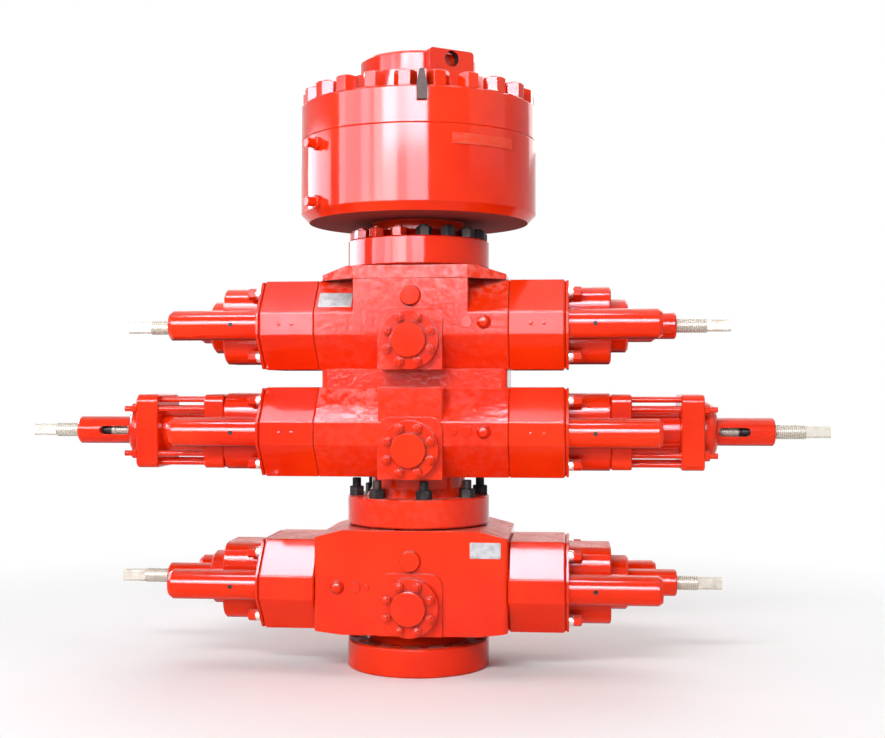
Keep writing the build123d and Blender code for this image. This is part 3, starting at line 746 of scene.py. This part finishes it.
# Small plugs on the flat fronts and backs of the double's intermediate flanges
flange_plugs = bmesh.new()
for level in (levels["lower"], levels["upper"]):
    for side in sides:
        for face in sides:
            for distance in flange_plug_distances:
                at = (side * distance, face * barrel_high[1], level)
                add_rings(
                    flange_plugs,
                    facing((0, face, 0), at),
                    [
                        circle_ring(flange_plug_radius, 0.0),
                        circle_ring(flange_plug_radius, flange_plug_height / 2),
                        circle_ring(flange_plug_radius / 2, flange_plug_height),
                    ],
                )
finish_piece(flange_plugs, "flange_plugs", smooth_enamel)

# Domed ends of the port plugs
plug_domes = bmesh.new()
dome_rings = [
    circle_ring(plug_dome_radius * share, plug_dome_height * (1 - share**2)) for share in dome_radius_shares
]
for name, level in levels.items():
    for face in sides:
        across = face if name == "single" else -face
        at = (across * plug_distance, face * (plug_height - front_face), level + plug_rise)
        add_rings(plug_domes, facing((0, face, 0), at), dome_rings)
finish_piece(plug_domes, "port_plug_domes", smooth_enamel)

# Bolts round the blind flanges of the side outlets
outlet_bolts = bmesh.new()
for level in levels.values():
    for face in sides:
        for place in range(outlet_bolt_count):
            angle = 2 * math.pi * (place + 0.5) / outlet_bolt_count
            at = (
                outlet_bolt_circle_radius * math.cos(angle),
                face * outlet_face,
                level - outlet_drop + outlet_bolt_circle_radius * math.sin(angle),
            )
            add_nut(outlet_bolts, facing((0, face, 0), at), **outlet_bolt)
finish_piece(outlet_bolts, "outlet_bolts", smooth_enamel)

# Nuts on the boosters' long tie rods, and collars on the annular preventer's ports
rod_nuts = bmesh.new()
for side in sides:
    for across in sides:
        for up in sides:
            at = (side * rod_seat, across * rod_far_offset, levels["lower"] + up * rod_near_offset)
            add_nut(rod_nuts, facing((side, 0, 0), at), **rod_nut)
finish_piece(rod_nuts, "tie_rod_nuts", smooth_enamel)
port_collars = bmesh.new()
port_direction = Vector((math.cos(port_angle), math.sin(port_angle), 0))
for drop in port_levels_below_seam:
    at = port_direction * annular_radius + Vector((0, 0, annular_seam - drop))
    add_nut(port_collars, facing(port_direction, at), **port_collar)
finish_piece(port_collars, "port_collars", smooth_enamel)

# Bare plates on the upper barrel's sloped side and on the single's front, and a painted one on the annular
barrel_height = barrel_high[2] - levels["upper"]
slope = Vector((0, -corner_cut_height, corner_cut_depth)).normalized()
barrel_plate_at = (
    barrel_plate_centre_x,
    front_face + corner_cut_depth * (1 - barrel_plate_slope_share),
    levels["upper"] + barrel_height - corner_cut_height * barrel_plate_slope_share,
)
name_plates = bmesh.new()
add_plate(name_plates, facing(slope, barrel_plate_at), barrel_plate_size)
single_plate_at = (single_plate_centre_x, front_face, single_top - single_plate_drop)
add_plate(name_plates, facing((0, -1, 0), single_plate_at), single_plate_size)
finish_piece(name_plates, "bare_name_plates", plate_steel)
casing_plate = bmesh.new()
casing_plate_level = annular_seam - casing_plate_drop
casing_plate_outside = annular_radius + casing_plate_thickness
casing_plate_section = (
    (annular_radius, casing_plate_level - casing_plate_half_height),
    (casing_plate_outside, casing_plate_level - casing_plate_half_height),
    (casing_plate_outside, casing_plate_level + casing_plate_half_height),
    (annular_radius, casing_plate_level + casing_plate_half_height),
)
add_arc_bar(casing_plate, casing_plate_angle, casing_plate_half_angle, casing_plate_section)
finish_piece(casing_plate, "casing_plate", rubbed_enamel)

# Fingers on the packing element's sloped top
packer_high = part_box("packing_element")[1]
finger_slope = packer_lip_height / packer_lip_width
fingers = bmesh.new()
finger_top = packer_high[2] - (finger_inner_radius - bore_radius) * finger_slope
finger_foot = packer_high[2] - (finger_outer_radius - bore_radius) * finger_slope
finger_section = (
    (finger_inner_radius, finger_top - finger_rise),
    (finger_outer_radius, finger_foot - finger_rise),
    (finger_outer_radius, finger_foot + finger_rise),
    (finger_inner_radius, finger_top + finger_rise),
)
for place in range(finger_count):
    add_arc_bar(fingers, 2 * math.pi * place / finger_count, finger_half_angle, finger_section)
finish_piece(fingers, "packer_fingers", gasket_steel)

# Pale floor that fades to white away from the object, for the camera and for reflections
floor_shape = bmesh.new()
bmesh.ops.create_grid(floor_shape, x_segments=1, y_segments=1, size=floor_half_size)
floor_mesh = bpy.data.meshes.new("floor")
floor_shape.to_mesh(floor_mesh)
floor_shape.free()
floor = bpy.data.objects.new("floor", floor_mesh)
floor.location.z = -floor_drop
bpy.context.scene.collection.objects.link(floor)
floor_material, tree, shader, place = new_material("pale_floor")
set_shader(tree, shader, {"Base Color": floor_colour, "Roughness": floor_roughness})
rays = add_node(tree, "ShaderNodeLightPath").outputs
distance = vector_math(tree, "LENGTH", place)["Value"]
seen = combine(tree, "MAXIMUM", rays["Is Camera Ray"], rays["Is Glossy Ray"])
faded = multiply(tree, remap(tree, distance, floor_fade), seen)
white = add_node(tree, "ShaderNodeEmission", {"Color": (1, 1, 1, 1), "Strength": 1.0}).outputs[0]
fading = add_node(tree, "ShaderNodeMixShader", {0: faded, 1: shader.outputs[0], 2: white})
tree.links.new(fading.outputs[0], tree.nodes["Material Output"].inputs["Surface"])
floor_mesh.materials.append(floor_material)

# White background for the camera and for reflections, a dim even light for everything else
world = bpy.data.worlds.new("studio")
bpy.context.scene.world = world
world.use_nodes = True
tree = world.node_tree
rays = add_node(tree, "ShaderNodeLightPath").outputs
seen = combine(tree, "MAXIMUM", rays["Is Camera Ray"], rays["Is Glossy Ray"])
seen = combine(tree, "MAXIMUM", seen, rays["Is Transmission Ray"])
tree.links.new(remap(tree, seen, (0.0, 1.0), (ambient, 1.0)), tree.nodes["Background"].inputs["Strength"])
tree.nodes["Background"].inputs["Color"].default_value = (1, 1, 1, 1)

# Soft panels and reflected cards, out of the camera's sight
for place, (start, stop, brightness) in enumerate(wall_strips):
    middle = math.radians((start + stop) / 2)
    width = 2 * wall_distance * math.tan(math.radians((stop - start) / 2))
    stands = (wall_distance * math.sin(middle), -wall_distance * math.cos(middle), wall_middle)
    cards[f"wall_strip_{place}"] = (stands, (0, 0, wall_middle), (width, wall_height), brightness)
for name, (stands, faces, size, brightness) in {**panels, **cards}.items():
    light = bpy.data.lights.new(name, "AREA")
    light.shape = "RECTANGLE"
    light.size, light.size_y = size
    light.energy = brightness * math.pi * light.size * light.size_y
    panel = bpy.data.objects.new(name, light)
    panel.matrix_world = facing(Vector(stands) - Vector(faces), stands)
    panel.visible_camera = False
    if name in cards:
        light.color = card_colour
        panel.visible_diffuse = False
    bpy.context.scene.collection.objects.link(panel)

# Camera
camera_data = bpy.data.cameras.new("camera")
camera_data.lens = camera_lens_mm
camera = bpy.data.objects.new("camera", camera_data)
bpy.context.scene.collection.objects.link(camera)
heading = Euler((math.pi / 2 + camera_tilt, 0, camera_azimuth - camera_pan)).to_matrix()
camera.matrix_world = Matrix.Translation(
    (camera_distance * math.sin(camera_azimuth), -camera_distance * math.cos(camera_azimuth), camera_height)
) @ heading.to_4x4()
bpy.context.scene.camera = camera
bpy.context.scene.view_settings.view_transform = "Standard"
